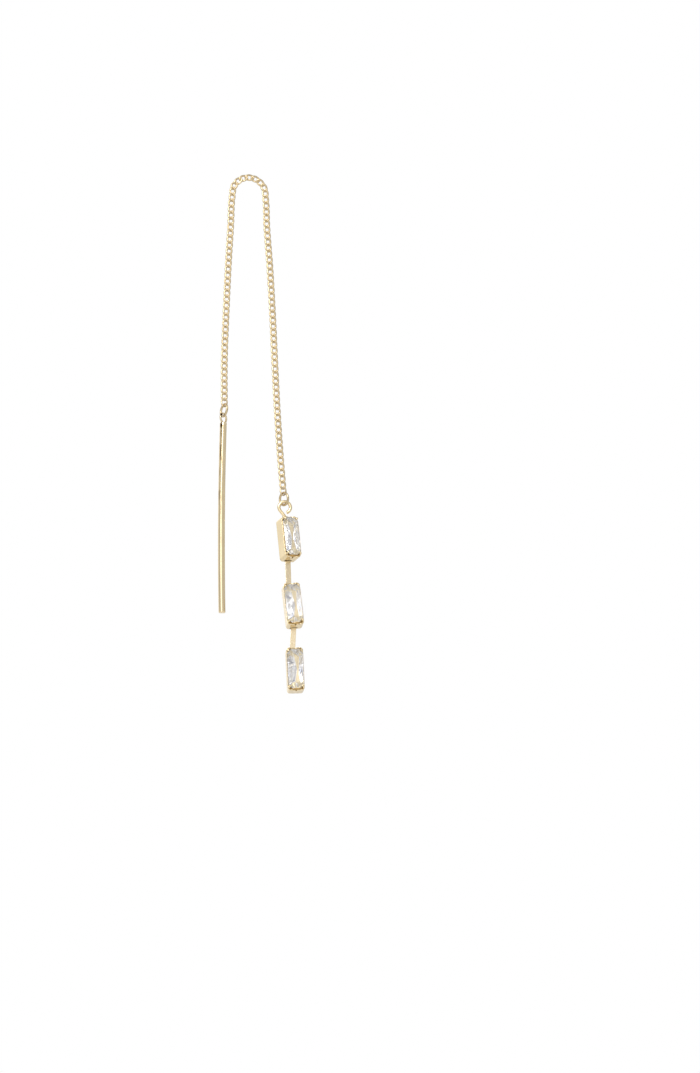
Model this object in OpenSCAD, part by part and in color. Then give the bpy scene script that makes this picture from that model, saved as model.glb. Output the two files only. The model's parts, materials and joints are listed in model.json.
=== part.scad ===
// Threader earring: a fine curb chain folded over the ear, with a slim round bar hung from its back end
// and a drop of three box-set baguette stones hung from its front end.
// Millimetres. +Z is up, +X is to the right seen from the front, and the front faces -Y.
// The origin is the inside top of the chain's bend, where the earring hangs.

/* [Chain] */
// Length of chain that one link takes up
link_pitch = 0.91; // [0.88:0.01:1.0]
// Width of a link across its flat face
link_w = 1.02; // [0.94:0.01:1.06]
// Thickness of a link's wire
link_wire = 0.2; // [0.17:0.01:0.2]
// Turn of a link's two ends out of the chain's flat face, in degrees
link_twist = 52; // [50:1:53]
// Number of links that belong to the front piece of the chain
front_links = 54; // [50:1:58]

/* [Jump rings] */
// Thickness of a jump ring's wire
ring_wire = 0.34; // [0.26:0.01:0.36]
// Outer diameter of a jump ring
ring_d = 2.14; // [1.9:0.02:2.4]
// Width of the cut where a jump ring closes
cut_w = 0.04; // [0.03:0.01:0.1]

/* [Threader bar] */
// Diameter of the bar
bar_d = 1.0; // [0.7:0.05:1.1]
// Length of the bar below its eye
bar_l = 28.0; // [20:0.2:40]
// Radius on the edge of the bar's free end
bar_edge = 0.12; // [0.05:0.01:0.2]
// Thickness of the eye's wire
eye_wire = 0.3; // [0.24:0.02:0.34]
// Outer diameter of the eye
eye_d = 1.7; // [1.4:0.02:1.8]

/* [Open loop] */
// Thickness of the loop's wire
loop_wire = 0.48; // [0.34:0.02:0.5]
// Outer diameter of the loop
loop_d = 2.14; // [2.0:0.02:2.4]
// Height of the loop's middle above the top setting
loop_rise = 1.45; // [1.3:0.05:1.8]

/* [Settings] */
// Outer width of a setting
cup_w = 2.4; // [2.2:0.05:3.2]
// Outer length of a setting
cup_l = 6.3; // [5.6:0.1:9]
// Depth of a setting from its rim to its back
cup_depth = 2.0; // [1.8:0.05:2.4]
// Radius on a setting's upright corners
cup_corner = 0.45; // [0.35:0.05:0.6]
// Thickness of the sheet metal
sheet = 0.16; // [0.12:0.01:0.2]
// Width of the slit in an end wall
slit_w = 0.14; // [0.1:0.02:0.2]
// Length of that slit below the rim
slit_l = 0.6; // [0.4:0.05:0.8]
// Depth of the dip in an end wall's rim
dip_depth = 0.25; // [0.1:0.05:0.35]
// Width of that dip
dip_w = 1.3; // [1.0:0.05:1.5]
// Thickness of a claw
claw_t = 0.32; // [0.28:0.02:0.36]
// Length of a claw's post below the rim
claw_foot = 0.5; // [0.3:0.05:0.8]
// Length of a claw's arm over the stone, without its round tip
claw_arm = 0.1; // [0.05:0.01:0.2]

/* [Stones] */
// Height of a stone's table above its straight edge
crown_h = 0.3; // [0.2:0.02:0.4]
// Height of a stone's straight edge
girdle_h = 0.1; // [0.06:0.02:0.16]
// Distance of the straight edge inside the setting's sides
edge_inset = 0.03; // [0.02:0.01:0.06]
// Distance of the straight edge inside the setting's ends
end_inset = 0.3; // [0.24:0.02:0.36]
// Depth of a stone below its straight edge
pavilion_h = 1.2; // [1.0:0.05:1.3]
// Share of that depth which the upper row of facets takes
upper_share = 0.5; // [0.3:0.05:0.6]
// Width of the sloping border round a stone's table
crown_w = 0.42; // [0.3:0.02:0.5]
// Width of the upper row of facets under the edge
upper_w = 0.42; // [0.36:0.02:0.5]
// Length cut off each side of a stone's corners
corner_cut = 0.6; // [0.56:0.02:0.7]

/* [Connectors] */
// Width of a connector's flat strip
strip_w = 0.76; // [0.6:0.02:0.9]
// Thickness of the strip
strip_t = 0.22; // [0.18:0.02:0.26]
// Length of the strip between its two heads
strip_l = 4.6; // [3.6:0.05:6]
// Width of the head at each end of the strip
head_w = 1.24; // [1.2:0.02:1.3]
// Length of each head
head_l = 0.4; // [0.3:0.02:0.5]

/* [Fits] */
// Room between two linked wires
link_gap = 0.15; // [0.13:0.01:0.16]
// Room between a ring and the wire that it hangs on
hang_gap = 0.08; // [0.06:0.01:0.12]
// Room between a stone and the metal round it
stone_gap = 0.04; // [0.03:0.01:0.06]
// Room round a strip in its slot
slot_gap = 0.16; // [0.14:0.01:0.18]
// Room between a strip's head and the end wall
head_gap = 0.2; // [0.18:0.01:0.25]

/* [Hidden] */
$fn = 64;

gold = [0.86, 0.76, 0.52];
pale_gold = [0.90, 0.82, 0.62];
clear = [0.90, 0.92, 0.96, 0.8];

// The chain's middle line in the X-Z plane, from the bar's end over the bend to the drop's end
chain_route = [
    [-3.46, -34.0], [-3.49, -27.0], [-3.27, -20.0], [-2.99, -13.0], [-2.65, -6.5],
    [-2.47, -2.47], [-2.2, -0.88], [-1.25, 0.16], [0, 0.52], [1.25, 0.16], [2.2, -0.88], [2.46, -2.6],
    [2.63, -6.5], [3.12, -13.0], [3.53, -20.0], [3.87, -27.0], [4.24, -34.0], [4.68, -40.5], [5.2, -46.8]
];

// Turns about the upright axis of the rings, the eye, the loop, the settings and the connectors
back_ring_turn = -70;
front_ring_turn = -60;
eye_turn = 46;
loop_turn = -4;
cup_turns = [15, -2, -5];
strip_turns = [7, -3.5];
// Leans in the front view: a positive one takes the top to the right
back_ring_lean = 5;
front_ring_lean = -7;
cup_leans = [-2.5, -6, -2.7];
strip_leans = [0, 3];
bar_lean = 0.1;
// Tilts in the side view: a negative one takes the top away from the viewer
cup_tilts = [-8, -5, 0];
strip_tilts = [-6.5, -2.5];
// How much nearer two settings hang than their strip lets them
strip_slacks = [0, 0.65];

// Link shape: sections round the link, sides of its wire, and the powers of its rounded outline
link_sections = 14;
link_sides = 5;
outline_power = 3.46;
twist_power = 0.44;
span_steps = 10;

// Smooth path through the route's points, its length and its points by length
function span(i) = norm(chain_route[i + 1] - chain_route[i]);
function slope(i) = (chain_route[i + 1] - chain_route[i]) / span(i);
last_point = len(chain_route) - 1;
function heading(i) =
    i == 0 ? slope(0)
    : i == last_point ? slope(last_point - 1)
    : (slope(i) * span(i - 1) + slope(i - 1) * span(i)) / (span(i - 1) + span(i));
function on_span(i, t) =
    chain_route[i] * (2 * t * t * t - 3 * t * t + 1)
    + heading(i) * span(i) * (t * t * t - 2 * t * t + t)
    + chain_route[i + 1] * (3 * t * t - 2 * t * t * t)
    + heading(i + 1) * span(i) * (t * t * t - t * t);
path = concat(
    [for (i = [0:last_point - 1]) for (k = [0:span_steps - 1]) on_span(i, k / span_steps)],
    [chain_route[last_point]]
);
steps = [for (i = [1:len(path) - 1]) norm(path[i] - path[i - 1])];
function running(values) = [
    for (i = 0, total = 0; i <= len(values); total = total + (i < len(values) ? values[i] : 0), i = i + 1)
        total
];
mileage = running(steps);
path_l = mileage[len(mileage) - 1];
x_by_l = [for (i = [0:len(path) - 1]) [mileage[i], path[i][0]]];
z_by_l = [for (i = [0:len(path) - 1]) [mileage[i], path[i][1]]];
function path_at(l) = [lookup(l, x_by_l), lookup(l, z_by_l)];

// Links along the path
link_count = round(path_l / link_pitch);
pitch = path_l / link_count;
link_half_l = (pitch + link_wire + link_gap) / 2;
link_half_w = (link_w - link_wire) / 2;
function link_at(i) = path_at((i + 0.5) * pitch);
function link_way(i) = path_at((i + 1) * pitch) - path_at(i * pitch);
function link_tilt(i) = atan2(link_way(i)[0], link_way(i)[1]);

// Point and frame of a link's wire at the angle t round it
function signed_power(v, p) = sign(v) * pow(abs(v), p);
function wire_point(t) =
    let (along = signed_power(cos(t), 2 / outline_power), across = signed_power(sin(t), 2 / outline_power))
    let (turn = -link_twist * signed_power(along, twist_power))
    [link_half_w * across * cos(turn), link_half_w * across * sin(turn), link_half_l * along];
function unit(v) = v / norm(v);
function wire_ring(k) =
    let (step = 360 / link_sections, here = wire_point(k * step))
    let (way = unit(unit(wire_point((k + 1) * step) - here) + unit(here - wire_point((k - 1) * step))))
    let (outward = unit([here[0], here[1], here[2] * link_half_w / link_half_l]))
    let (rim = unit(outward - way * (outward * way)))
    let (side = cross(way, rim))
    [for (j = [0:link_sides - 1])
        here + link_wire / 2 * (rim * cos(j * 360 / link_sides) + side * sin(j * 360 / link_sides))];
link_points = [for (k = [0:link_sections - 1]) for (p = wire_ring(k)) p];
function link_vertex(k, j) = (k % link_sections) * link_sides + j % link_sides;
link_faces = [
    for (k = [0:link_sections - 1]) for (j = [0:link_sides - 1]) for (half = [0, 1])
        half == 0
            ? [link_vertex(k, j), link_vertex(k + 1, j + 1), link_vertex(k, j + 1)]
            : [link_vertex(k, j), link_vertex(k + 1, j), link_vertex(k + 1, j + 1)]
];

// Turns a vector by a tilt about X, a lean about Y and then a turn about Z
function turned(v, tilt, lean, turn) =
    let (y = v[1] * cos(tilt) - v[2] * sin(tilt), up = v[1] * sin(tilt) + v[2] * cos(tilt))
    let (x = v[0] * cos(lean) + up * sin(lean), z = up * cos(lean) - v[0] * sin(lean))
    [x * cos(turn) - y * sin(turn), x * sin(turn) + y * cos(turn), z];

// Each later length of a bent wire is this much thinner than the one before it
wire_step = 0.02;

// Where the rings hang: the middle of the lowest wire of each end link
function below(point, way, reach) = [point[0] + way[0] * reach, 0, point[1] + way[1] * reach];
front_way = unit(link_way(link_count - 1));
back_way = -unit(link_way(0));
front_hook = below(link_at(link_count - 1), front_way, link_half_l);
back_hook = below(link_at(0), back_way, link_half_l);
ring_r = (ring_d - ring_wire) / 2;
ring_drop = ring_r - (link_wire + ring_wire) / 2 - hang_gap;
front_ring_mid = front_hook + turned([0, 0, -ring_drop], 0, front_ring_lean, 0);
back_ring_mid = back_hook + turned([0, 0, -ring_drop], 0, back_ring_lean, 0);

// The loop and the eye hang on the lowest wire of their ring
loop_r = (loop_d - loop_wire) / 2;
front_pivot = front_ring_mid + turned([0, 0, -ring_r], 0, front_ring_lean, 0);
loop_mid = front_pivot - [0, 0, loop_r - (ring_wire + loop_wire) / 2 - hang_gap];
eye_r = (eye_d - eye_wire) / 2;
back_pivot = back_ring_mid + turned([0, 0, -ring_r], 0, back_ring_lean, 0);
eye_mid = back_pivot - [0, 0, eye_r - (ring_wire + eye_wire) / 2 - hang_gap];

// The loop's wire: its free end and its root, as angles seen from the front
loop_free_end = -71;
loop_root = 218;
// The stem runs straight on from the root, a step thinner, and starts this far inside the loop's wire
stem_lap = 0.1;
// Where the stem meets the top setting's end wall: to the right of its middle, and behind it
root_x = -0.4;
root_depth = -0.5;
// Length of the stem down to the wall's inner face, and its sideways run
stem_l = (loop_rise + sheet + loop_r * sin(loop_root)) / -cos(loop_root);
stem_x = loop_r * cos(loop_root) + (loop_rise + loop_r * sin(loop_root)) * tan(loop_root);

// Room on a claw's elbow round its inner radius, and the degrees by which it starts inside the post
elbow_skin = 0.02;
claw_lap = 6;
// The strips pass to the left of a setting's middle
slot_x = -0.16;

// A setting's own frame has its middle at its box's centre; the strips pass at this depth behind it
strip_depth = cup_depth / 2 - sheet - slot_gap - strip_t / 2;
slot_w = strip_w + 2 * slot_gap;
slot_t = strip_t + 2 * slot_gap;
rim = -cup_depth / 2;

// A stone is as wide as its setting and sits on the side walls with its upper row of lower facets
stone_w = cup_w - 2 * edge_inset;
stone_l = cup_l - 2 * end_inset;
upper_h = pavilion_h * upper_share;
seat_slope = atan2(upper_h, upper_w);
edge_low = rim - (sheet - edge_inset + stone_gap / sin(seat_slope)) * tan(seat_slope);
edge_top = edge_low - girdle_h;

// A claw's post stands just clear of the stone's cut corner; its arm runs up the crown
post_to_cut = claw_t / 2 + stone_gap;
post_inset = (corner_cut - post_to_cut * sqrt(2)) / 2;
crown_slope = atan2(crown_h, crown_w);
elbow_r = claw_t / 2 + elbow_skin;
elbow_rise = (claw_t / 2 + stone_gap - elbow_r) / cos(crown_slope) + (elbow_r - post_to_cut) * tan(crown_slope);

// Middles of the settings, worked down from the loop's root through the strips' slots
function in_cup(i, v) = turned(v, cup_tilts[i], cup_leans[i], cup_turns[i]);
function slot_from_mid(i, end) = in_cup(i, [slot_x, strip_depth, end * cup_l / 2]);
function strip_span(i) = strip_l - 2 * (sheet + head_gap) - strip_slacks[i];
function strip_run(i) = turned([0, 0, -strip_span(i)], strip_tilts[i], strip_leans[i], strip_turns[i]);
stem_foot = loop_mid + turned([stem_x, 0, -loop_rise], 0, 0, loop_turn);
mid_top = stem_foot - in_cup(0, [root_x, root_depth, cup_l / 2]);
slot_1 = mid_top + slot_from_mid(0, -1);
slot_2 = slot_1 + strip_run(0);
mid_middle = slot_2 - slot_from_mid(1, 1);
slot_3 = mid_middle + slot_from_mid(1, -1);
slot_4 = slot_3 + strip_run(1);
mid_bottom = slot_4 - slot_from_mid(2, 1);
cup_mids = [mid_top, mid_middle, mid_bottom];

module link(i) {
    translate([link_at(i)[0], 0, link_at(i)[1]])
        rotate([0, link_tilt(i), 0])
            polyhedron(link_points, link_faces);
}

// A wire ring that stands upright in its own X-Z plane, from one angle to another
module wire_ring_upright(radius, wire, from = 0, sweep = 360) {
    rotate([90, 0, 0])
        rotate([0, 0, from])
            rotate_extrude(angle = sweep)
                translate([radius, 0])
                    circle(d = wire, $fn = 32);
}

module jump_ring(mid, turn, lean) {
    cut_angle = cut_w / ring_r * 180 / PI;
    translate(mid)
        rotate([0, lean, 0])
            rotate([0, 0, turn])
                wire_ring_upright(ring_r, ring_wire, cut_angle / 2, 360 - cut_angle);
}

module chain_back() {
    color(gold)
        for (i = [0:link_count - front_links - 1]) link(i);
}

module chain_front() {
    color(gold)
        for (i = [link_count - front_links:link_count - 1]) link(i);
}

module back_ring() {
    color(pale_gold) jump_ring(back_ring_mid, back_ring_turn, back_ring_lean);
}

module front_ring() {
    color(gold) jump_ring(front_ring_mid, front_ring_turn, front_ring_lean);
}

// A round bar with a softened free end and a wire eye soldered on its top
module threader_bar() {
    top = -eye_r - eye_wire / 4;
    color(pale_gold)
        translate(eye_mid)
            rotate([0, bar_lean, 0]) {
                rotate([0, 0, eye_turn]) wire_ring_upright(eye_r, eye_wire);
                rotate_extrude() {
                    translate([0, top - bar_l + bar_edge]) square([bar_d / 2, bar_l - bar_edge]);
                    translate([0, top - bar_l]) square([bar_d / 2 - bar_edge, bar_edge * 2]);
                    intersection() {
                        translate([bar_d / 2 - bar_edge, top - bar_l + bar_edge]) circle(r = bar_edge);
                        translate([0, top - bar_l]) square([bar_d, bar_edge * 2]);
                    }
                }
            }
}

// A rectangle with round corners, drawn about its middle
module round_rectangle(w, l, r) {
    square([w - 2 * r, l], center = true);
    square([w, l - 2 * r], center = true);
    for (x = [-1, 1]) for (y = [-1, 1])
        translate([x * (w / 2 - r), y * (l / 2 - r)]) circle(r = r, $fn = 48);
}

// A prism of the setting's outline between two depths behind its middle
module cup_prism(w, l, r, from, to) {
    rotate([90, 0, 0])
        translate([0, 0, -to])
            linear_extrude(to - from)
                round_rectangle(w, l, r);
}

// A dip in an end wall's rim and a slit down from it
module end_dip(end) {
    reach = sheet + cup_corner;
    dip_r = (dip_w * dip_w / 4 + dip_depth * dip_depth) / (2 * dip_depth);
    translate([0, rim + dip_depth - dip_r, end * cup_l / 2 - reach / 2]) cylinder(r = dip_r, h = reach);
    translate([-slit_w / 2, rim, end * cup_l / 2 - reach / 2]) cube([slit_w, slit_l, reach]);
}

// A wider hole through one end wall, for the strip
module end_slot(end) {
    reach = sheet + cup_corner;
    translate([slot_x - slot_w / 2, strip_depth - slot_t / 2, end * cup_l / 2 - reach / 2])
        cube([slot_w, slot_t, reach]);
}

// One claw: a round post up a corner, an elbow and an arm with a round tip over the stone's cut corner
module claw(x_side, z_side) {
    bend = 90 - crown_slope;
    foot = edge_top - rim - claw_foot;
    translate([x_side * (stone_w / 2 - post_inset), edge_top, z_side * (stone_l / 2 - post_inset)])
        rotate([90, 0, 0])
            rotate([0, 0, atan2(-z_side, -x_side)]) {
                translate([0, 0, foot]) cylinder(d = claw_t, h = elbow_rise - foot);
                translate([elbow_r, 0, elbow_rise])
                    rotate([90, 0, 0])
                        rotate([0, 0, 180 - bend])
                            rotate_extrude(angle = bend + claw_lap)
                                translate([elbow_r, 0])
                                    circle(d = claw_t - wire_step, $fn = 32);
                translate([elbow_r * (1 - cos(bend)), 0, elbow_rise + elbow_r * sin(bend)])
                    rotate([0, bend, 0])
                        translate([0, 0, -wire_step])
                            rotate_extrude() claw_arm_half();
            }
}

// Half of the outline of a claw's arm
module claw_arm_half() {
    arm_r = claw_t / 2 - wire_step;
    square([arm_r, claw_arm + wire_step]);
    translate([0, claw_arm + wire_step])
        intersection() {
            circle(r = arm_r, $fn = 32);
            square(arm_r);
        }
}

// A drawn sheet-metal box with claws at its corners and slots in the end walls that are named
module setting(i, slots) {
    back = cup_depth / 2;
    translate(cup_mids[i])
        rotate([cup_tilts[i], cup_leans[i], cup_turns[i]]) {
            difference() {
                cup_prism(cup_w, cup_l, cup_corner, rim, back);
                cup_prism(cup_w - 2 * sheet, cup_l - 2 * sheet, cup_corner - sheet, rim - 1, back - sheet);
                for (end = [-1, 1]) end_dip(end);
                for (end = slots) end_slot(end);
            }
            for (x = [-1, 1]) for (z = [-1, 1]) claw(x, z);
        }
}

module setting_top() {
    color(gold) {
        setting(0, [-1]);
        translate(loop_mid)
            rotate([0, 0, loop_turn]) {
                wire_ring_upright(loop_r, loop_wire, loop_free_end, loop_root - loop_free_end);
                translate([loop_r * cos(loop_root), 0, loop_r * sin(loop_root)])
                    rotate([0, -loop_root, 0])
                        translate([0, 0, -stem_lap])
                            cylinder(d = loop_wire - wire_step, h = stem_l + stem_lap, $fn = 32);
            }
    }
}

module setting_middle() {
    color(gold) setting(1, [-1, 1]);
}

module setting_bottom() {
    color(gold) setting(2, [1]);
}

// Eight corners of the stone's outline, taken in by a step, at one depth
function stone_ring(step, depth) =
    let (x = stone_w / 2 - step, z = stone_l / 2 - step, cut = corner_cut - step * (2 - sqrt(2)))
    [for (q = [[1, 1], [-1, 1], [-1, -1], [1, -1]]) for (first = [q[0] * q[1] > 0, q[0] * q[1] < 0])
        first ? [q[0] * x, depth, q[1] * (z - cut)] : [q[0] * (x - cut), depth, q[1] * z]];
function band(k) = [for (j = [0:7]) [8 * k + j, 8 * k + (j + 1) % 8, 8 * k + 8 + (j + 1) % 8, 8 * k + 8 + j]];

// A cut stone: a table, a crown, a straight edge, two rows of facets below and a keel
module stone(i) {
    belly = edge_low + upper_h;
    keel = edge_low + pavilion_h;
    keel_z = (stone_l - stone_w) / 2;
    points = concat(
        stone_ring(crown_w, edge_top - crown_h), stone_ring(0, edge_top), stone_ring(0, edge_low),
        stone_ring(upper_w, belly), [[0, keel, keel_z], [0, keel, -keel_z]]
    );
    low = 24;
    top_tip = 32;
    low_tip = 33;
    keel_faces = [
        [low + 0, low + 1, top_tip], [low + 1, low + 2, top_tip], [low + 2, low + 3, top_tip],
        [low + 3, low + 4, low_tip, top_tip], [low + 4, low + 5, low_tip], [low + 5, low + 6, low_tip],
        [low + 6, low + 7, low_tip], [low + 7, low + 0, top_tip, low_tip]
    ];
    translate(cup_mids[i])
        rotate([cup_tilts[i], cup_leans[i], cup_turns[i]])
            polyhedron(points, concat([[7, 6, 5, 4, 3, 2, 1, 0]], band(0), band(1), band(2), keel_faces));
}

module stone_top() {
    color(clear) stone(0);
}

module stone_middle() {
    color(clear) stone(1);
}

module stone_bottom() {
    color(clear) stone(2);
}

// A flat strip with a wider head at each end, which sits inside the two settings
module connector(i, start) {
    reach = (strip_l + head_l) / 2;
    translate(start)
        rotate([strip_tilts[i], strip_leans[i], strip_turns[i]])
            translate([0, strip_t / 2, -strip_span(i) / 2])
                rotate([90, 0, 0])
                    linear_extrude(strip_t) {
                        square([strip_w, 2 * reach], center = true);
                        for (end = [-1, 1])
                            translate([0, end * reach])
                                square([head_w, head_l], center = true);
                    }
}

module connector_upper() {
    color(gold) connector(0, slot_1);
}

module connector_lower() {
    color(pale_gold) connector(1, slot_3);
}

chain_back();
chain_front();
back_ring();
front_ring();
threader_bar();
setting_top();
setting_middle();
setting_bottom();
stone_top();
stone_middle();
stone_bottom();
connector_upper();
connector_lower();
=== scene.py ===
"""Threader earring: finishes, fine chain links, cut stones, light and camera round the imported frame.

Sizes and places on the earring are in millimetres, and times MM they are the frame's metres. The floor, the
light and the camera's clipping distances are in metres.
"""

import json
import math

import bmesh
import bpy
from mathutils import Matrix, Vector


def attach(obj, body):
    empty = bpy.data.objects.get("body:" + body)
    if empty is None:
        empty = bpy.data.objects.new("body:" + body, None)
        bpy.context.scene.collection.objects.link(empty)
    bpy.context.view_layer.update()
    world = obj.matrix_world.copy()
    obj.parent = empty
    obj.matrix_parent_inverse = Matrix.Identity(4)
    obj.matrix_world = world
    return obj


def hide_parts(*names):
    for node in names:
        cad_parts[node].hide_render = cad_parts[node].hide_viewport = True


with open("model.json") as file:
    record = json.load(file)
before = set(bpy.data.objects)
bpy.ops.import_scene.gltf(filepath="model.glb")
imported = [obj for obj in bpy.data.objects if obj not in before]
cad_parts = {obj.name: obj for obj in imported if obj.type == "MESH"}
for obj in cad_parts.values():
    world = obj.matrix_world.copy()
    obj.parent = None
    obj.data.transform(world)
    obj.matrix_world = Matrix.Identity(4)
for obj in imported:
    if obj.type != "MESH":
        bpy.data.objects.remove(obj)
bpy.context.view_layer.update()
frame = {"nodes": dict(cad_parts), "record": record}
MM = 0.001

# The chain's route and links, as in the part's source
CHAIN_ROUTE = [
    (-3.46, -34.0), (-3.49, -27.0), (-3.27, -20.0), (-2.99, -13.0), (-2.65, -6.5),
    (-2.47, -2.47), (-2.2, -0.88), (-1.25, 0.16), (0, 0.52), (1.25, 0.16), (2.2, -0.88), (2.46, -2.6),
    (2.63, -6.5), (3.12, -13.0), (3.53, -20.0), (3.87, -27.0), (4.24, -34.0), (4.68, -40.5), (5.2, -46.8),
]
SPAN_STEPS = 10
LINK_PITCH = 0.91
FRONT_LINKS = 54

# The finer link that stands for the CAD one is thicker and flatter, and is fused with its neighbours
LINK_W = 1.02
LINK_WIRE = 0.285
LINK_SECTIONS = 40
LINK_SIDES = 10
# Degrees that a link's ends are twisted by, and the power that the twist grows with along the link
LINK_TWIST = 10
TWIST_POWER = 0.6
# The links next to the rings are slimmer, so that the rings swing clear of them
END_WIRE = 0.22
END_HALF_L = 0.64


def smooth_path(points, steps):
    """The part's smooth path through its route's points, as a list of 2-D points."""
    points = [Vector(p) for p in points]
    spans = [(b - a).length for a, b in zip(points, points[1:])]
    slopes = [(b - a) / s for a, b, s in zip(points, points[1:], spans)]
    headings = [slopes[0]]
    for i in range(1, len(points) - 1):
        before, after = spans[i - 1], spans[i]
        headings.append((slopes[i] * before + slopes[i - 1] * after) / (before + after))
    headings.append(slopes[-1])
    path = []
    for i, span in enumerate(spans):
        for k in range(steps):
            t = k / steps
            path.append(
                points[i] * (2 * t**3 - 3 * t**2 + 1)
                + headings[i] * span * (t**3 - 2 * t**2 + t)
                + points[i + 1] * (3 * t**2 - 2 * t**3)
                + headings[i + 1] * span * (t**3 - t**2)
            )
    path.append(points[-1])
    return path


def link_places():
    """Middle and tilt of each chain link, from the bar's end to the drop's end, and the pitch."""
    path = smooth_path(CHAIN_ROUTE, SPAN_STEPS)
    mileage = [0.0]
    for a, b in zip(path, path[1:]):
        mileage.append(mileage[-1] + (b - a).length)
    total = mileage[-1]
    count = round(total / LINK_PITCH)
    pitch = total / count

    def at(length):
        for i in range(1, len(path)):
            if length <= mileage[i] or i == len(path) - 1:
                share = (length - mileage[i - 1]) / (mileage[i] - mileage[i - 1])
                return path[i - 1].lerp(path[i], min(max(share, 0.0), 1.0))

    places = []
    for i in range(count):
        way = at((i + 1) * pitch) - at(i * pitch)
        places.append((at((i + 0.5) * pitch), math.atan2(way.x, way.y)))
    return places, pitch


# Meshes

def tube_faces(rows, sides, closed):
    """Faces round a tube's rows of points: a closed tube's last row meets its first, an open one has caps."""
    faces = []
    for k in range(rows if closed else rows - 1):
        ahead = (k + 1) % rows
        for j in range(sides):
            j2 = (j + 1) % sides
            faces.append((k * sides + j, k * sides + j2, ahead * sides + j2, ahead * sides + j))
    if not closed:
        faces.append(tuple(range(sides)))
        faces.append(tuple((rows - 1) * sides + j for j in reversed(range(sides))))
    return faces


def joined(shells):
    """Several shells of points and faces as one."""
    points, faces = [], []
    for shell_points, shell_faces in shells:
        start = len(points)
        points += shell_points
        faces += [tuple(v + start for v in face) for face in shell_faces]
    return points, faces


def new_piece(name, points, faces, material, smooth=True):
    """A mesh object from points in millimetres, with every closed shell's faces turned outwards."""
    mesh = bpy.data.meshes.new(name)
    mesh.from_pydata([Vector(p) * MM for p in points], [], faces)
    mesh.validate()
    mesh.update()
    piece = bpy.data.objects.new(name, mesh)
    bpy.context.scene.collection.objects.link(piece)
    mesh.materials.append(material)
    for face in mesh.polygons:
        face.use_smooth = smooth
    work = bmesh.new()
    work.from_mesh(mesh)
    bmesh.ops.recalc_face_normals(work, faces=work.faces)
    work.to_mesh(mesh)
    work.free()
    return piece


# Materials

# Places on a tint's ramp of its dark and its light colour, and the values that most noise lies between
TINT_PLACES = (0.3, 0.7)
NOISE_REACH = (0.25, 0.75)
# A colour Mix node's sockets, which share their names with its other kinds
MIX_FACTOR, MIX_A, MIX_B, MIX_RESULT = 0, 6, 7, 2


def new_material(name):
    """A node material, with its nodes, its links and its shader."""
    material = bpy.data.materials.new(name)
    material.use_nodes = True
    nodes = material.node_tree.nodes
    return material, nodes, material.node_tree.links, nodes["Principled BSDF"]


def noise(nodes, links, scale, detail):
    """Noise over the object's own coordinates, with its scale in cycles a millimetre."""
    place = nodes.new("ShaderNodeTexCoord")
    texture = nodes.new("ShaderNodeTexNoise")
    texture.inputs["Scale"].default_value = scale / MM
    texture.inputs["Detail"].default_value = detail
    links.new(place.outputs["Object"], texture.inputs["Vector"])
    return texture.outputs["Fac"]


def tint(nodes, links, value, dark, light):
    """A colour that runs from dark to light with a noise's value."""
    ramp = nodes.new("ShaderNodeValToRGB")
    for element, position, colour in zip(ramp.color_ramp.elements, TINT_PLACES, (dark, light)):
        element.position = position
        element.color = (*colour, 1)
    links.new(value, ramp.inputs["Fac"])
    return ramp.outputs["Color"]


def drifting(nodes, links, colour, scale, detail, shares):
    """A colour that drifts over the surface between a darker and a lighter share of itself."""
    dark, light = [[min(c * share, 1) for c in colour] for share in shares]
    return tint(nodes, links, noise(nodes, links, scale, detail), dark, light)


def ranged(nodes, links, value, start, end, low=0.0, high=1.0):
    """A value brought from one range to another, and kept inside that one."""
    reach = nodes.new("ShaderNodeMapRange")
    reach.inputs["From Min"].default_value = start
    reach.inputs["From Max"].default_value = end
    reach.inputs["To Min"].default_value = low
    reach.inputs["To Max"].default_value = high
    links.new(value, reach.inputs["Value"])
    return reach.outputs["Result"]


def worked_out(nodes, links, operation, first, second):
    """What a Math node makes of two values."""
    math_node = nodes.new("ShaderNodeMath")
    math_node.operation = operation
    links.new(first, math_node.inputs[0])
    links.new(second, math_node.inputs[1])
    return math_node.outputs[0]


def multiply_node(nodes):
    """A Mix node that multiplies one colour by another."""
    mix = nodes.new("ShaderNodeMix")
    mix.data_type = "RGBA"
    mix.blend_type = "MULTIPLY"
    return mix


def darken(material, factor, shade):
    """Multiplies a material's colour by a shade, as far as a factor from 0 to 1 says."""
    nodes, links = material.node_tree.nodes, material.node_tree.links
    colour = nodes["Principled BSDF"].inputs["Base Color"]
    mix = multiply_node(nodes)
    mix.inputs[MIX_B].default_value = (*shade, 1)
    links.new(factor, mix.inputs[MIX_FACTOR])
    links.new(colour.links[0].from_socket, mix.inputs[MIX_A])
    links.new(mix.outputs[MIX_RESULT], colour)


# Plated gold: scale of its colour drift and polishing grain in cycles a millimetre, shares of its colour and
# roughness that they run between, and the grain's depth
GOLD_DRIFT = 0.35
GOLD_GRAIN = 6.0
GOLD_TINTS = (0.93, 1.04)
GOLD_POLISH = (0.7, 1.3)
GRAIN_DEPTH = 0.01
EDGE_SAMPLES = 8


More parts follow.
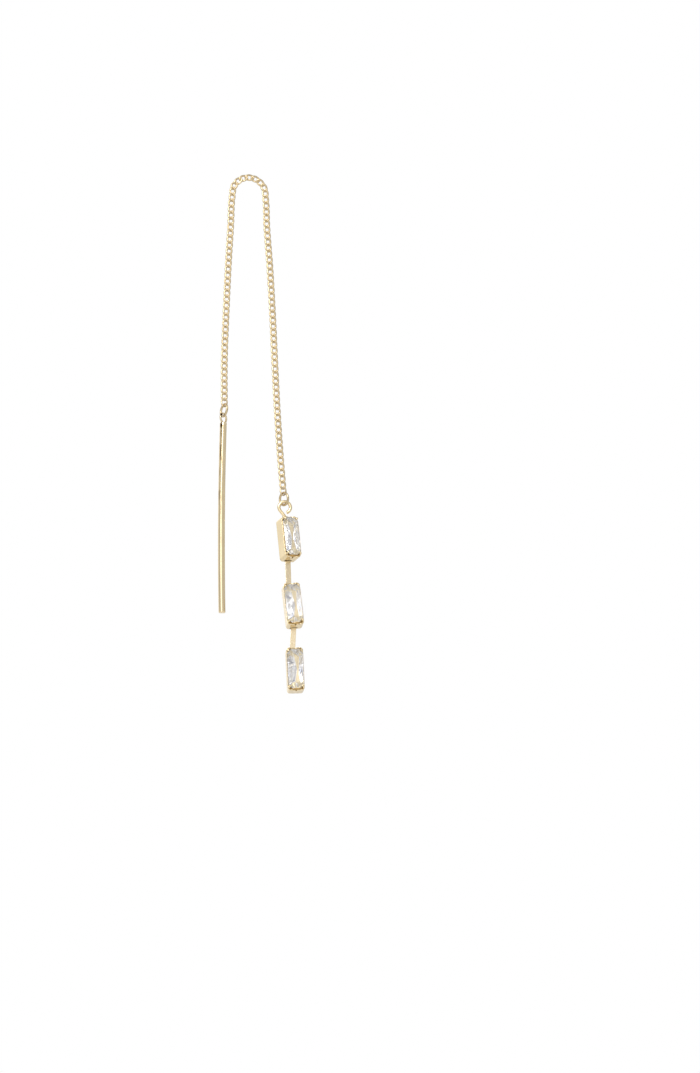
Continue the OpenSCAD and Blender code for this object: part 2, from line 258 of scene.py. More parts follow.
def gold(name, colour, roughness, bump, edge=0.0):
    """Plated gold: colour drift, polishing grain, faint waviness, and edges rounded by a radius."""
    material, nodes, links, shader = new_material(name)
    shader.inputs["Metallic"].default_value = 1.0
    tinted = drifting(nodes, links, colour, GOLD_DRIFT, detail=3, shares=GOLD_TINTS)
    links.new(tinted, shader.inputs["Base Color"])
    polish = noise(nodes, links, GOLD_GRAIN, detail=5)
    low, high = [roughness * share for share in GOLD_POLISH]
    links.new(ranged(nodes, links, polish, *NOISE_REACH, low, high), shader.inputs["Roughness"])
    lift = nodes.new("ShaderNodeBump")
    lift.inputs["Strength"].default_value = bump
    lift.inputs["Distance"].default_value = GRAIN_DEPTH * MM
    links.new(polish, lift.inputs["Height"])
    if edge:
        soft = nodes.new("ShaderNodeBevel")
        soft.samples = EDGE_SAMPLES
        soft.inputs["Radius"].default_value = edge * MM
        links.new(soft.outputs["Normal"], lift.inputs["Normal"])
    links.new(lift.outputs["Normal"], shader.inputs["Normal"])
    return material


# Painted reflection: dark streaks on the bar's upper left side stand for a dark thing reflected in the
# polished bar. The side and the height that they fade out at, their cycles a millimetre along each axis, the
# noise values that they are cut from, and their shade
STREAK_X = (-3.95, -3.6)
STREAK_Z = (-56.0, -38.0)
STREAK_SCALE = (3.5, 3.5, 0.5)
STREAK_NOISE = (0.49, 0.56)
STREAK_SHADE = (0.3, 0.24, 0.15)


def painted_dark_reflection(material):
    """Broken dark streaks of painted reflection down one side of the bar's upper half."""
    nodes, links = material.node_tree.nodes, material.node_tree.links
    place = nodes.new("ShaderNodeTexCoord")
    stretch = nodes.new("ShaderNodeMapping")
    stretch.inputs["Scale"].default_value = [scale / MM for scale in STREAK_SCALE]
    links.new(place.outputs["Object"], stretch.inputs["Vector"])
    texture = nodes.new("ShaderNodeTexNoise")
    texture.inputs["Scale"].default_value = 1.0
    texture.inputs["Detail"].default_value = 2
    links.new(stretch.outputs["Vector"], texture.inputs["Vector"])
    split = nodes.new("ShaderNodeSeparateXYZ")
    links.new(place.outputs["Object"], split.inputs["Vector"])
    broken = ranged(nodes, links, texture.outputs["Fac"], *STREAK_NOISE)
    aside = ranged(nodes, links, split.outputs["X"], *[x * MM for x in STREAK_X], 1.0, 0.0)
    above = ranged(nodes, links, split.outputs["Z"], *[z * MM for z in STREAK_Z])
    factor = worked_out(nodes, links, "MULTIPLY", broken, aside)
    factor = worked_out(nodes, links, "MULTIPLY", factor, above)
    darken(material, factor, STREAK_SHADE)


# Two dark spots of painted shade by the solder joint where the eye meets the bar, on the bar's top and on its
# eye: their middles and reaches, the shares of the reach that they fade between, and their shade
PAINTED_SHADE_SPOTS = (
    ((-3.95, -0.4, -37.05), (0.22, 0.4, 0.5)),
    ((-3.98, -0.3, -35.65), (0.36, 0.5, 0.42)),
)
SPOT_FADE = (1.0, 0.6)
SPOT_SHADE = (0.16, 0.12, 0.07)


def painted_shade_spot(material, middle, reach):
    """A dark spot of painted shade round a place of the object, soft at its edge."""
    nodes, links = material.node_tree.nodes, material.node_tree.links
    place = nodes.new("ShaderNodeTexCoord")
    centred = nodes.new("ShaderNodeMapping")
    centred.inputs["Scale"].default_value = [1 / (r * MM) for r in reach]
    centred.inputs["Location"].default_value = [-m / r for m, r in zip(middle, reach)]
    links.new(place.outputs["Object"], centred.inputs["Vector"])
    distance = nodes.new("ShaderNodeVectorMath")
    distance.operation = "LENGTH"
    links.new(centred.outputs["Vector"], distance.inputs[0])
    darken(material, ranged(nodes, links, distance.outputs["Value"], *SPOT_FADE), SPOT_SHADE)


# The stones' foils, mirror-like facets under the crown whose colours are painted reflections: scale of their
# colour drift and polish in cycles a millimetre, shares of their colour and roughness that these run between,
# and the roughness
FOIL_DRIFT = 0.8
FOIL_GRAIN = 4.0
FOIL_TINTS = (0.96, 1.03)
FOIL_POLISH = (0.6, 1.4)
FOIL_ROUGHNESS = 0.16
FOIL_MIRROR = 0.55
SPREADING_MIRROR = 0.2


def painted_reflection_facet(name, colour, mirror=FOIL_MIRROR):
    """A facet under the stone's crown that throws the light back, its colour a painted reflection of what is
    there.

    The mirror value is the share that comes back as from a mirror; the rest is spread.
    """
    material, nodes, links, shader = new_material(name)
    shader.inputs["Metallic"].default_value = mirror
    tinted = drifting(nodes, links, colour, FOIL_DRIFT, detail=2, shares=FOIL_TINTS)
    links.new(tinted, shader.inputs["Base Color"])
    low, high = [FOIL_ROUGHNESS * share for share in FOIL_POLISH]
    polish = noise(nodes, links, FOIL_GRAIN, detail=2)
    links.new(ranged(nodes, links, polish, *NOISE_REACH, low, high), shader.inputs["Roughness"])
    return material


# The stones' clear crown, with the faintest blue: its two tints, the roughness of its worn spots and its IOR
CLEAR_DARK = (0.975, 0.98, 0.995)
CLEAR_LIGHT = (0.99, 0.99, 1.0)
CLEAR_WEAR = 0.02
CLEAR_IOR = 1.45


def clear_material():
    """The stone's crown: clear, with a faint drift of colour and a trace of wear in its polish."""
    material, nodes, links, shader = new_material("clear_stone")
    drift = noise(nodes, links, scale=0.5, detail=2)
    links.new(tint(nodes, links, drift, CLEAR_DARK, CLEAR_LIGHT), shader.inputs["Base Color"])
    wear = noise(nodes, links, scale=5.0, detail=3)
    links.new(ranged(nodes, links, wear, *NOISE_REACH, 0.0, CLEAR_WEAR), shader.inputs["Roughness"])
    shader.inputs["Transmission Weight"].default_value = 1.0
    shader.inputs["IOR"].default_value = CLEAR_IOR
    return material


CHAIN_GOLD = gold("chain_gold", (0.63, 0.505, 0.31), roughness=0.34, bump=0.15)
BAR_GOLD = gold("bar_gold", (0.86, 0.71, 0.46), roughness=0.16, bump=0.1)
# Painted reflection: broken dark streaks on the bar's upper left side
painted_dark_reflection(BAR_GOLD)
# Painted shade: dark spots where the eye meets the bar
for spot_middle, spot_reach in PAINTED_SHADE_SPOTS:
    painted_shade_spot(BAR_GOLD, spot_middle, spot_reach)
SETTING_GOLD = gold("setting_gold", (0.85, 0.7, 0.44), roughness=0.2, bump=0.2, edge=0.06)
# Painted shade: a darker gold for the ledges inside the cups
CAVITY_SHADE_GOLD = gold("cavity_gold_painted_shade", (0.62, 0.4, 0.15), roughness=0.3, bump=0.2)
STRIP_GOLD = gold("strip_gold", (0.86, 0.72, 0.49), roughness=0.26, bump=0.3, edge=0.04)
CLEAR = clear_material()
# Painted reflections in the facets' colours: white, lavender and frost for the bright studio, grey for its
# darker parts, gold and glow for the setting's lit gold, amber for its shaded gold, and seat for the
# setting's gold in painted shade in the groove under the girdle
PAINTED_REFLECTION_FACETS = {
    "white": painted_reflection_facet("facet_white_painted_reflection", (1.0, 1.0, 1.0)),
    "lavender": painted_reflection_facet("facet_lavender_painted_reflection", (0.95, 0.95, 0.98)),
    "grey": painted_reflection_facet("facet_grey_painted_reflection", (0.6, 0.62, 0.7)),
    "gold": painted_reflection_facet("facet_gold_painted_reflection", (0.97, 0.82, 0.55)),
    "seat": painted_reflection_facet("facet_seat_painted_shade", (0.6, 0.46, 0.25)),
    "glow": painted_reflection_facet("facet_glow_painted_reflection", (1.0, 0.87, 0.62), SPREADING_MIRROR),
    "frost": painted_reflection_facet("facet_frost_painted_reflection", (1.0, 0.99, 0.99), SPREADING_MIRROR),
    "amber": painted_reflection_facet("facet_amber_painted_reflection", (0.62, 0.47, 0.28), SPREADING_MIRROR),
}
SLOT_MATERIAL = {
    "chain_gold": CHAIN_GOLD,
    "bar_gold": BAR_GOLD,
    "setting_gold": SETTING_GOLD,
    "strip_gold": STRIP_GOLD,
    "clear_stone": CLEAR,
}
for part in frame["record"]["subparts"]:
    node = frame["nodes"][part["node"]]
    node.data.materials.clear()
    node.data.materials.append(SLOT_MATERIAL[part["material_slot"]])


# The chain: each CAD node is stood for by one piece with finer links

def signed_power(value, power):
    """A power of a value's size, with the value's sign."""
    return math.copysign(abs(value) ** power, value)


def link_mesh(half_w, half_l, wire):
    """Points and faces of one curb link: an oval of wire whose two ends are twisted."""

    def middle_line(angle):
        along, across = math.cos(angle), math.sin(angle)
        turn = -math.radians(LINK_TWIST) * signed_power(along, TWIST_POWER)
        return Vector((half_w * across * math.cos(turn), half_w * across * math.sin(turn), half_l * along))

    centres = [middle_line(2 * math.pi * (k + 0.5) / LINK_SECTIONS) for k in range(LINK_SECTIONS)]
    points = []
    for k, here in enumerate(centres):
        ahead, behind = centres[(k + 1) % LINK_SECTIONS], centres[k - 1]
        way = ((ahead - here).normalized() + (here - behind).normalized()).normalized()
        outward = Vector((here.x, here.y, here.z * half_w / half_l)).normalized()
        rim = (outward - way * outward.dot(way)).normalized()
        side = way.cross(rim)
        for j in range(LINK_SIDES):
            a = 2 * math.pi * j / LINK_SIDES
            points.append(here + wire / 2 * (rim * math.cos(a) + side * math.sin(a)))
    return points, tube_faces(LINK_SECTIONS, LINK_SIDES, closed=True)


def chain_piece(name, places, pitch, node, ring_link):
    """A stretch of the chain. The link with the number ring_link is the one that a ring hangs in."""
    link = link_mesh((LINK_W - LINK_WIRE) / 2, (pitch + LINK_WIRE) / 2, LINK_WIRE)
    end_link = link_mesh((LINK_W - END_WIRE) / 2, END_HALF_L, END_WIRE)
    shells = []
    for k, (middle, tilt) in enumerate(places):
        points, faces = end_link if k == ring_link else link
        turn = Matrix.Rotation(tilt, 3, "Y")
        shells.append(([turn @ p + Vector((middle.x, 0, middle.y)) for p in points], faces))
    piece = new_piece(name, *joined(shells), CHAIN_GOLD)
    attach(piece, "chain")
    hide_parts(node)


PLACES, PITCH = link_places()
chain_piece("fine_chain_back", PLACES[:-FRONT_LINKS], PITCH, "chain_back", 0)
chain_piece("fine_chain_front", PLACES[-FRONT_LINKS:], PITCH, "chain_front", FRONT_LINKS - 1)


# The threader bar: the CAD one with the real bar's slight bow, a softened end and a soldered eye

# How far the bar's middle bows to the left, and the radius that softens its lower end
BAR_BOW = 0.17
BAR_END_R = 0.12
BAR_SIDES = 48
BAR_ROWS = 60
ROUND_STEPS = 6
# The eye's turn is in degrees about the upright
EYE_D = 1.7
EYE_WIRE = 0.3
EYE_TURN = 46
EYE_SECTIONS = 72
EYE_SIDES = 20
# The solder's dome: radius, height and tip height as shares of it, and radii of its tip and first row
SOLDER_R = 0.24
SOLDER_HEIGHT = 0.8
SOLDER_TIP_HEIGHT = 0.9
SOLDER_TIP_R = 0.1
SOLDER_ROW_R = 0.12


def ring_points(radius, wire, turn):
    """Points of a closed wire ring, upright in its own X-Z plane and turned about Z."""
    spin = Matrix.Rotation(math.radians(turn), 3, "Z")
    points = []
    for k in range(EYE_SECTIONS):
        a = 2 * math.pi * k / EYE_SECTIONS
        for j in range(EYE_SIDES):
            b = 2 * math.pi * j / EYE_SIDES
            reach = radius + wire / 2 * math.cos(b)
            points.append(spin @ Vector((reach * math.cos(a), wire / 2 * math.sin(b), reach * math.sin(a))))
    return points


def turned_points(profile, sides):
    """Points of a solid turned about Z, from (height, radius, sideways shift) rows from its top down."""
    points = []
    for height, radius, shift in profile:
        for j in range(sides):
            a = 2 * math.pi * j / sides
            points.append(Vector((shift + radius * math.cos(a), radius * math.sin(a), height)))
    return points


def bar_profile(radius, length):
    """Rows of the bar's turned solid: the solder's dome, the bowed length and the softened end."""
    top, bottom = length / 2, -length / 2

    def bow(height):
        return -BAR_BOW * (1 - (2 * height / length) ** 2)

    quarter = [math.pi / 2 * k / ROUND_STEPS for k in range(ROUND_STEPS + 1)]
    rows = [(top + SOLDER_R * SOLDER_TIP_HEIGHT, SOLDER_TIP_R, 0)]
    for a in quarter[1:]:
        row_r = SOLDER_ROW_R + (radius - SOLDER_ROW_R) * math.sin(a)
        rows.append((top + SOLDER_R * math.cos(a) * SOLDER_HEIGHT, row_r, 0))
    for k in range(1, BAR_ROWS):
        height = top - (length - BAR_END_R) * k / BAR_ROWS
        rows.append((height, radius, bow(height)))
    for a in quarter:
        height = bottom + BAR_END_R * (1 - math.sin(a))
        rows.append((height, radius - BAR_END_R * (1 - math.cos(a)), bow(height)))
    return rows


def bar_piece():
    """The bar with its eye, along the axis of the part's mount for it."""
    mount = next(m for m in frame["record"]["mounts"] if m["name"] == "threader_bar")
    length = mount["dims"]["length_mm"] + BAR_END_R
    middle = Vector(mount["pos_m"]) / MM
    up = -Vector(mount["axis"])
    lean = Matrix.Rotation(math.atan2(up.x, up.z), 3, "Y")
    eye_r = (EYE_D - EYE_WIRE) / 2
    eye_lift = Vector((0, 0, length / 2 + eye_r + EYE_WIRE / 4))
    profile = bar_profile(mount["dims"]["r_mm"], length)
    bar = (turned_points(profile, BAR_SIDES), tube_faces(len(profile), BAR_SIDES, closed=False))
    eye_points = [p + eye_lift for p in ring_points(eye_r, EYE_WIRE, EYE_TURN)]
    eye = (eye_points, tube_faces(EYE_SECTIONS, EYE_SIDES, closed=True))
    points, faces = joined([bar, eye])
    piece = new_piece("fine_bar", [lean @ p + middle for p in points], faces, BAR_GOLD)
    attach(piece, "bar")
    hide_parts("threader_bar")


bar_piece()


# The stones: the CAD outline and depths, with finer facets

STONE_NODES = ("stone_top", "stone_middle", "stone_bottom")
# Degrees that each setting is turned by about the upright, the depth and the sideways axis, as in the part
CUP_TURNS = (15, -2, -5)
CUP_LEANS = (-2.5, -6, -2.7)
CUP_TILTS = (-8, -5, 0)
CROWN_H = 0.3
GIRDLE_H = 0.1
PAVILION_H = 1.2
CORNER_CUT = 0.6
# What the scene's stone is longer by at each end
STONE_END = 0.04

# Loops that the facets run between. A step takes the outline in, and a share is one of the pavilion's depth.
# The rows for sides and ends are extra points: place from 1 to -1, own step and own depth.
CROWN_STEP = 0.42
CROWN_MID_DEPTH = 0.11
CROWN_SIDE = [(place, 0.02, 0.012) for place in (0.45, -0.45)]
GIRDLE_SIDE = [(place, 0, 0) for place in (0.5, 0, -0.5)]
SEAT_STEP = 0.16
SEAT_SHARE = 0.2
BELLY_STEP = 0.4
BELLY_SHARE = 0.5
BELLY_SHIFT = 0.1
BELLY_SIDE = [
    (0.7, -0.09, -0.1), (0.36, 0.08, 0.08), (0.02, -0.09, -0.1), (-0.32, 0.08, 0.08), (-0.7, -0.08, -0.08),
]
BELLY_END = [
    (0.7, 0.12, -0.03), (0.4, -0.08, 0.03), (0.05, 0.18, -0.03), (-0.35, -0.06, 0.03), (-0.7, 0.14, -0.03),
]
INNER_STEP = 0.7
INNER_END_STEP = 1.05
INNER_SHARE = 0.78
INNER_SHIFT = 0.3
INNER_CUT = 0.1
INNER_SIDE = [(0.5, 0.07, 0.05), (0, -0.07, -0.05), (-0.5, 0.07, 0.05)]
# The keel under the innermost loop is a ridge between two lines, which the sides' facets meet at these places
CULET_X = (0.27, 0.5)
# The row of facets under the girdle; those above it are clear
SEAT_ROW = 3
# Which painted reflection the facets of the rows under the seat show, in turn round the stone
END_FINISHES = ("frost", "glow", "frost", "amber", "frost", "frost", "glow")
SIDE_FINISHES = ("white", "lavender", "white", "white", "grey", "white", "lavender")
# Facets next to the keel that show the grey painted reflection, counted round the innermost loop
GREY_KEEL_PLACES = (0, 9, 11)
# Height difference below which an edge of the innermost loop is level
LEVEL = 1e-6
# Direction that places round a loop are counted from, a little before its first corner
FIRST_ANGLE = math.atan2(0.5, 1)


def around(x, z):
    """How far round the stone a direction is, as an angle from just before the first corner."""
    return (math.atan2(z, x) - FIRST_ANGLE) % (2 * math.pi)


def stone_loop(half_w, half_l, step, depth, side=(), end=(), end_step=None, cut=None, shift=0):
    """A closed loop of the stone's outline taken in by a step, with how far round it each point is.

    Extra points down the sides and across the ends are their place, from 1 to -1, and their own step and
    depth. An end step and a corner cut stand in for the usual ones.
    """
    x, z = half_w - step, half_l - (step if end_step is None else end_step)
    cut = CORNER_CUT - step * (2 - math.sqrt(2)) if cut is None else cut
    loop = [(x, depth, z - cut), (x - cut, depth, z)]
    loop += [((x - cut) * t, depth + d, z - s) for t, s, d in end]
    loop += [(cut - x, depth, z), (-x, depth, z - cut)]
    loop += [(-x + s, depth + d, (z - cut) * t) for t, s, d in side]
    loop += [(-x, depth, cut - z), (cut - x, depth, -z)]
    loop += [((cut - x) * t, depth + d, s - z) for t, s, d in end]
    loop += [(x - cut, depth, -z), (x, depth, cut - z)]
    loop += [(x - s, depth + d, (cut - z) * t) for t, s, d in side]
    places = [around(point[0] / x, point[2] / z) for point in loop]
    return [Vector(point) + Vector((shift, 0, 0)) for point in loop], places


def zipped(upper_places, lower_places, upper_start, lower_start):
    """Triangles between two loops that both run the same way round."""
    n, m = len(upper_places), len(lower_places)
    upper_at = [0] + upper_places[1:] + [2 * math.pi]
    lower_at = [0] + lower_places[1:] + [2 * math.pi]
    faces = []
    i = j = 0
    while i < n or j < m:
        if j == m or (i < n and upper_at[i + 1] <= lower_at[j + 1]):
            faces.append((upper_start + i, upper_start + (i + 1) % n, lower_start + j % m))
            i += 1
        else:
            faces.append((upper_start + i % n, lower_start + (j + 1) % m, lower_start + j))
            j += 1
    return faces


def facet_finish(row, place, corners, half_l):
    """What a facet between two loops shows: clear glass, or a finish of painted reflection or painted shade.
    """
    if row < SEAT_ROW:
        return "clear"
    from_middle = abs((sum(corners, Vector()) / 3).z)
    if row == SEAT_ROW:
        # The seat row is the setting's gold in painted shade, and at its corners the lit gold's painted
        # reflection
        return "glow" if from_middle > half_l - CORNER_CUT else "seat"
    finishes = END_FINISHES if from_middle > half_l - INNER_END_STEP else SIDE_FINISHES
    return finishes[(place + row) % len(finishes)]


def keel_finish(place):
    """Which painted reflection a facet between the innermost loop's sides and the keel shows."""
    if place in GREY_KEEL_PLACES:
        return "grey"
    return "white" if place % 2 else "lavender"


def stone_frame(node, turns):
    """The setting's axes, half the CAD stone's width and length in them, and the middle of its table."""
    tilt, lean, turn = [math.radians(v) for v in turns]
    axes = Matrix.Rotation(turn, 3, "Z") @ Matrix.Rotation(lean, 3, "Y") @ Matrix.Rotation(tilt, 3, "X")
    cad = frame["nodes"][node]
    corners = [axes.transposed() @ (cad.matrix_world @ v.co) / MM for v in cad.data.vertices]
    low = Vector([min(c[i] for c in corners) for i in range(3)])
    high = Vector([max(c[i] for c in corners) for i in range(3)])
    table = Vector(((low.x + high.x) / 2, low.y, (low.z + high.z) / 2))
    return axes, (high.x - low.x) / 2, (high.z - low.z) / 2, table


def stone_rows(half_w, half_l, girdle_low):
    """The stone's loops, from its table down."""

    def depth_at(share):
        return girdle_low + PAVILION_H * share

    return [
        stone_loop(half_w, half_l, CROWN_STEP, 0),
        stone_loop(half_w, half_l, CROWN_STEP / 2, CROWN_MID_DEPTH, CROWN_SIDE),
        stone_loop(half_w, half_l, 0, CROWN_H),
        stone_loop(half_w, half_l, 0, girdle_low, GIRDLE_SIDE),
        stone_loop(half_w, half_l, SEAT_STEP, depth_at(SEAT_SHARE)),
        stone_loop(
            half_w, half_l, BELLY_STEP, depth_at(BELLY_SHARE), BELLY_SIDE, BELLY_END, shift=BELLY_SHIFT
        ),
        stone_loop(
            half_w, half_l, INNER_STEP, depth_at(INNER_SHARE), INNER_SIDE,
            end_step=INNER_END_STEP, cut=INNER_CUT, shift=INNER_SHIFT,
        ),
    ]


def stone_shell(half_w, half_l):
    """Points of the closed stone, and its faces with the finish of each."""
    girdle_low = CROWN_H + GIRDLE_H
    rows = stone_rows(half_w, half_l, girdle_low)
    points, starts = [], []
    for loop, _ in rows:
        starts.append(len(points))
        points += loop
    faces = [(tuple(range(len(rows[0][0]))), "clear")]
    for k in range(len(rows) - 1):
        for j, face in enumerate(zipped(rows[k][1], rows[k + 1][1], starts[k], starts[k + 1])):
            faces.append((face, facet_finish(k, j, [points[v] for v in face], half_l)))
    culets = (len(points), len(points) + 1)
    points += [Vector((x, girdle_low + PAVILION_H, 0)) for x in CULET_X]
    inner = rows[-1][0]
    for j, a in enumerate(inner):
        b = inner[(j + 1) % len(inner)]
        edge = (starts[-1] + j, starts[-1] + (j + 1) % len(inner))
        # Level edges meet the keel in facets with the painted reflection of the setting's gold
        if abs(a.z - b.z) < LEVEL:
            faces.append((edge + (culets if a.z > 0 else culets[::-1]), "gold"))
        else:
            on_right = (a.x + b.x) / 2 > INNER_SHIFT
            faces.append((edge + (culets[int(on_right)],), keel_finish(j)))
    return points, faces


def stone_piece(name, node, turns):
    """A stone in its setting: a clear crown over foils that throw the light back, in colours of painted
    reflection.
    """
    axes, half_w, half_l, table = stone_frame(node, turns)
    points, faces = stone_shell(half_w, half_l + STONE_END)
    places = [axes @ (p + table) for p in points]
    piece = new_piece(name, places, [face for face, _ in faces], CLEAR, smooth=False)
    for material in PAINTED_REFLECTION_FACETS.values():
        piece.data.materials.append(material)
    slots = ["clear"] + list(PAINTED_REFLECTION_FACETS)
    for polygon, (_, finish) in zip(piece.data.polygons, faces):
        polygon.material_index = slots.index(finish)
    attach(piece, "drop")
    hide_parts(node)


# The settings' rolled lips and inner ledges

# Lips follow the dip in an end wall's rim and stop short of its slit. A ledge inside the wall fills the gap
# under the stone's end.
CUP_HALF_L = 3.15
RIM_BELOW_TABLE = 0.655
DIP_W = 1.3
DIP_DEPTH = 0.25
LIP_R = 0.12
# How far from the wall's middle a lip and the ledge reach, and where a lip starts
LIP_FROM = 0.07
LIP_TO = 0.8
LIP_STEPS = 16
LIP_SIDES = 14
LEDGE_R = 0.2
LEDGE_Z = 2.8
LEDGE_BELOW_TABLE = 0.95
# Rows of a tube's half-round end, and where its first row lies between its tip and the next one
TUBE_END_ROWS = 5
TUBE_TIP = 0.3


def rounded_tube(path, radius, sides, normal):
    """A tube along a flat path, with half-round ends."""
    first, last = (path[0] - path[1]).normalized(), (path[-1] - path[-2]).normalized()
    quarter = [math.pi / 2 * (k + TUBE_TIP) / (TUBE_END_ROWS + TUBE_TIP) for k in range(TUBE_END_ROWS)]
    rows = [(path[0] + first * radius * math.cos(a), radius * math.sin(a)) for a in quarter]
    rows += [(p, radius) for p in path]
    rows += [(path[-1] + last * radius * math.cos(a), radius * math.sin(a)) for a in reversed(quarter)]
    points = []
    for k, (middle, reach) in enumerate(rows):
        way = (rows[min(k + 1, len(rows) - 1)][0] - rows[max(k - 1, 0)][0]).normalized()
        side = way.cross(normal)
        for j in range(sides):
            a = 2 * math.pi * j / sides
            points.append(middle + reach * (side * math.cos(a) + normal * math.sin(a)))
    return points, tube_faces(len(rows), sides, closed=False)


def lip_path(side, end):
    """Middle line of a lip on one side of an end wall, over the round dip in the wall's rim."""
    dip_r = (DIP_W * DIP_W / 4 + DIP_DEPTH * DIP_DEPTH) / (2 * DIP_DEPTH)
    path = []
    for k in range(LIP_STEPS):
        x = LIP_FROM + LIP_R + (LIP_TO - LIP_FROM - LIP_R) * k / (LIP_STEPS - 1)
        dip = max(DIP_DEPTH - dip_r + math.sqrt(dip_r * dip_r - x * x), 0)
        path.append(Vector((side * x, RIM_BELOW_TABLE + dip, end * (CUP_HALF_L - LIP_R))))
    return path


def lips_piece(name, node, turns):
    """A setting's four lips, and its two ledges in a darker gold that is painted shade inside the cup."""
    axes, _, _, table = stone_frame(node, turns)
    along = Vector((0, 0, 1))
    shells, in_painted_shade = [], []
    for end in (-1, 1):
        ledge = [Vector((side * LIP_TO, LEDGE_BELOW_TABLE, end * LEDGE_Z)) for side in (-1, 0, 1)]
        shells.append(rounded_tube(ledge, LEDGE_R, LIP_SIDES, along))
        in_painted_shade += [True] * len(shells[-1][1])
        for side in (-1, 1):
            shells.append(rounded_tube(lip_path(side, end), LIP_R, LIP_SIDES, along))
            in_painted_shade += [False] * len(shells[-1][1])
    points, faces = joined(shells)
    piece = new_piece(name, [axes @ (p + table) for p in points], faces, SETTING_GOLD)
    # The ledges' faces take the darker gold of painted shade
    piece.data.materials.append(CAVITY_SHADE_GOLD)
    for polygon, inside in zip(piece.data.polygons, in_painted_shade):
        polygon.material_index = int(inside)
    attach(piece, "drop")


for node, turns in zip(STONE_NODES, zip(CUP_TILTS, CUP_LEANS, CUP_TURNS)):
    stone_piece("fine_" + node, node, turns)
    lips_piece("lips_" + node.split("_")[1], node, turns)


# Floor, light and camera

# The floor in metres, and its finish
FLOOR_HALF = 3.0
FLOOR_Z = -0.5
FLOOR_COLOUR = (0.97, 0.97, 0.97, 1)
FLOOR_ROUGHNESS = 0.8


def stage_floor():
    """A plain pale floor, well below the earring."""
    mesh = bpy.data.meshes.new("floor")
    corners = [(x * FLOOR_HALF, y * FLOOR_HALF, FLOOR_Z) for x, y in ((-1, -1), (1, -1), (1, 1), (-1, 1))]
    mesh.from_pydata(corners, [], [(0, 1, 2, 3)])
    floor = bpy.data.objects.new("floor", mesh)
    bpy.context.scene.collection.objects.link(floor)
    material, _, _, shader = new_material("floor")
    shader.inputs["Base Color"].default_value = FLOOR_COLOUR
    shader.inputs["Roughness"].default_value = FLOOR_ROUGHNESS
    mesh.materials.append(material)


# Brightness of the studio round the earring: degrees from the front towards the right, value
STUDIO = [
    (-180, 1.3), (-142, 1.3), (-120, 1.05), (-102, 0.7), (-58, 0.75), (-42, 1.1), (-33, 2.2), (-13, 2.2),
    (0, 1.1), (14, 0.82), (75, 0.8), (118, 0.75), (150, 0.85), (180, 1.2),
]
# Share of that brightness by height: the upward part of the direction, share
STUDIO_LEVELS = [
    (-1, 0.6), (-0.6, 0.72), (-0.2, 0.8), (0.1, 0.8), (0.3, 0.82), (0.5, 1.0), (0.75, 0.95), (0.92, 0.5),
    (1, 0.5),
]


def grey_ramp(nodes, links, value, stops):
    """Greys that run smoothly over a value from 0 to 1, through (place, grey) stops."""
    ramp = nodes.new("ShaderNodeValToRGB")
    ramp.color_ramp.interpolation = "EASE"
    elements = ramp.color_ramp.elements
    elements.remove(elements[1])
    for k, (position, grey) in enumerate(stops):
        element = elements[0] if k == 0 else elements.new(position)
        element.position = position
        element.color = (grey, grey, grey, 1)
    links.new(value, ramp.inputs["Fac"])
    return ramp.outputs["Color"]


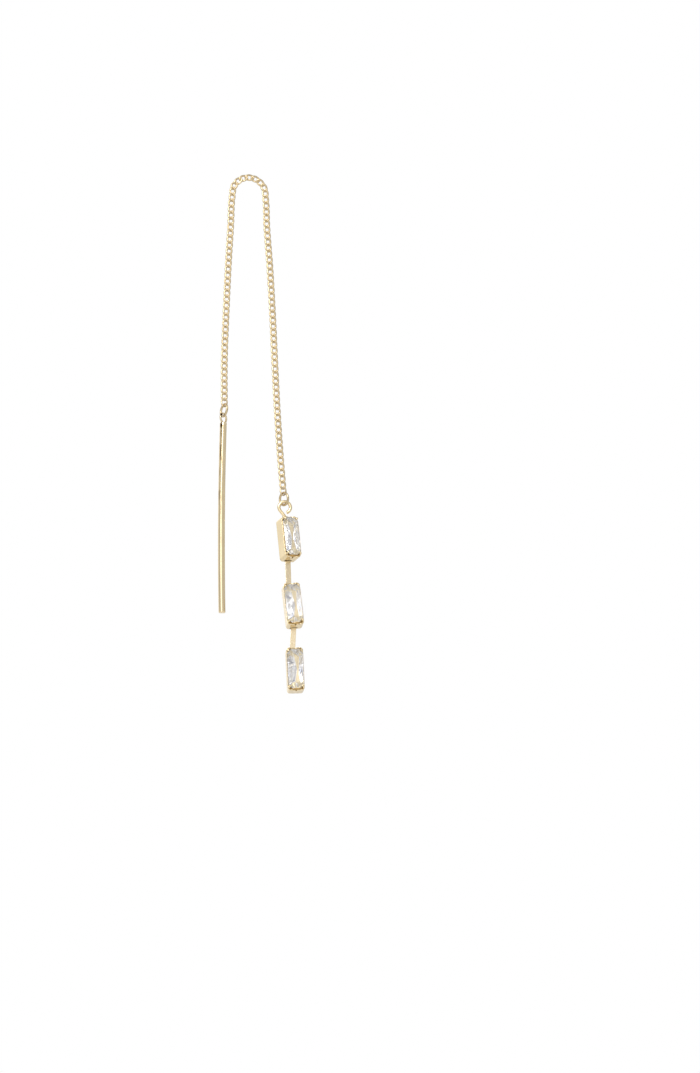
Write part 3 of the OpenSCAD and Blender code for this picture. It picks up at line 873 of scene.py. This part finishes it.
def studio_world():
    """White for the camera, and bands of soft light and shade for what the metal and stones reflect."""
    world = bpy.data.worlds.new("studio")
    bpy.context.scene.world = world
    world.use_nodes = True
    nodes, links = world.node_tree.nodes, world.node_tree.links
    nodes.clear()
    place = nodes.new("ShaderNodeTexCoord")
    split = nodes.new("ShaderNodeSeparateXYZ")
    links.new(place.outputs["Generated"], split.inputs["Vector"])
    minus_y = nodes.new("ShaderNodeMath")
    minus_y.operation = "MULTIPLY"
    minus_y.inputs[1].default_value = -1
    links.new(split.outputs["Y"], minus_y.inputs[0])
    angle = worked_out(nodes, links, "ARCTAN2", split.outputs["X"], minus_y.outputs[0])
    turn_share = ranged(nodes, links, angle, -math.pi, math.pi)
    height_share = ranged(nodes, links, split.outputs["Z"], -1, 1)
    top = max(value for _, value in STUDIO)
    turn_stops = [((degrees + 180) / 360, value / top) for degrees, value in STUDIO]
    height_stops = [((height + 1) / 2, value) for height, value in STUDIO_LEVELS]
    both = multiply_node(nodes)
    both.inputs[MIX_FACTOR].default_value = 1
    links.new(grey_ramp(nodes, links, turn_share, turn_stops), both.inputs[MIX_A])
    links.new(grey_ramp(nodes, links, height_share, height_stops), both.inputs[MIX_B])
    bands = nodes.new("ShaderNodeBackground")
    bands.inputs["Strength"].default_value = top
    links.new(both.outputs[MIX_RESULT], bands.inputs["Color"])
    white = nodes.new("ShaderNodeBackground")
    white.inputs["Color"].default_value = (1, 1, 1, 1)
    white.inputs["Strength"].default_value = 1.0
    path = nodes.new("ShaderNodeLightPath")
    pick = nodes.new("ShaderNodeMixShader")
    out = nodes.new("ShaderNodeOutputWorld")
    links.new(path.outputs["Is Camera Ray"], pick.inputs["Fac"])
    links.new(bands.outputs[0], pick.inputs[1])
    links.new(white.outputs[0], pick.inputs[2])
    links.new(pick.outputs[0], out.inputs["Surface"])


# The camera looks up from the left: degrees from the front towards the right, and above the level
CAMERA_AZIMUTH = -10
CAMERA_ELEVATION = -14
LENS = 200
SENSOR = 36
CLIPPING = (0.01, 20)
# The photograph's size, the pixel that the origin lies on, and what a pixel is at the earring
IMAGE_W, IMAGE_H = 700, 1073
ORIGIN_PX = (249, 181)
PIXEL = 0.1455


def studio_camera():
    """A long lens a little below and to the left, framed as the photograph is."""
    a, e = math.radians(CAMERA_AZIMUTH), math.radians(CAMERA_ELEVATION)
    back = Vector((math.sin(a) * math.cos(e), -math.cos(a) * math.cos(e), math.sin(e)))
    right = Vector((math.cos(a), math.sin(a), 0))
    up = back.cross(right)
    pixel = PIXEL * MM
    target = right * (IMAGE_W / 2 - ORIGIN_PX[0]) * pixel - up * (IMAGE_H / 2 - ORIGIN_PX[1]) * pixel
    camera = bpy.data.objects.new("camera", bpy.data.cameras.new("camera"))
    bpy.context.scene.collection.objects.link(camera)
    camera.data.sensor_width = SENSOR
    camera.data.lens = LENS
    camera.data.clip_start, camera.data.clip_end = CLIPPING
    camera.location = target + back * (IMAGE_H * pixel * LENS / SENSOR)
    camera.rotation_mode = "QUATERNION"
    camera.rotation_quaternion = Matrix((right, up, back)).transposed().to_quaternion()
    bpy.context.scene.camera = camera


# What the light is aimed at, in metres: the earring, somewhat below its middle
LIGHT_AIM = Vector((0, 0, -0.045))


def soft_light(name, location, size, power):
    """A round area light, aimed at the earring."""
    light = bpy.data.objects.new(name, bpy.data.lights.new(name, "AREA"))
    bpy.context.scene.collection.objects.link(light)
    light.data.shape = "DISK"
    light.data.size = size
    light.data.energy = power
    light.location = location
    light.rotation_euler = (LIGHT_AIM - Vector(location)).to_track_quat("-Z", "Y").to_euler()


bpy.context.scene.view_settings.view_transform = "Standard"
stage_floor()
studio_world()
studio_camera()
soft_light("key_light", location=(-0.35, -0.6, 0.35), size=0.3, power=3)
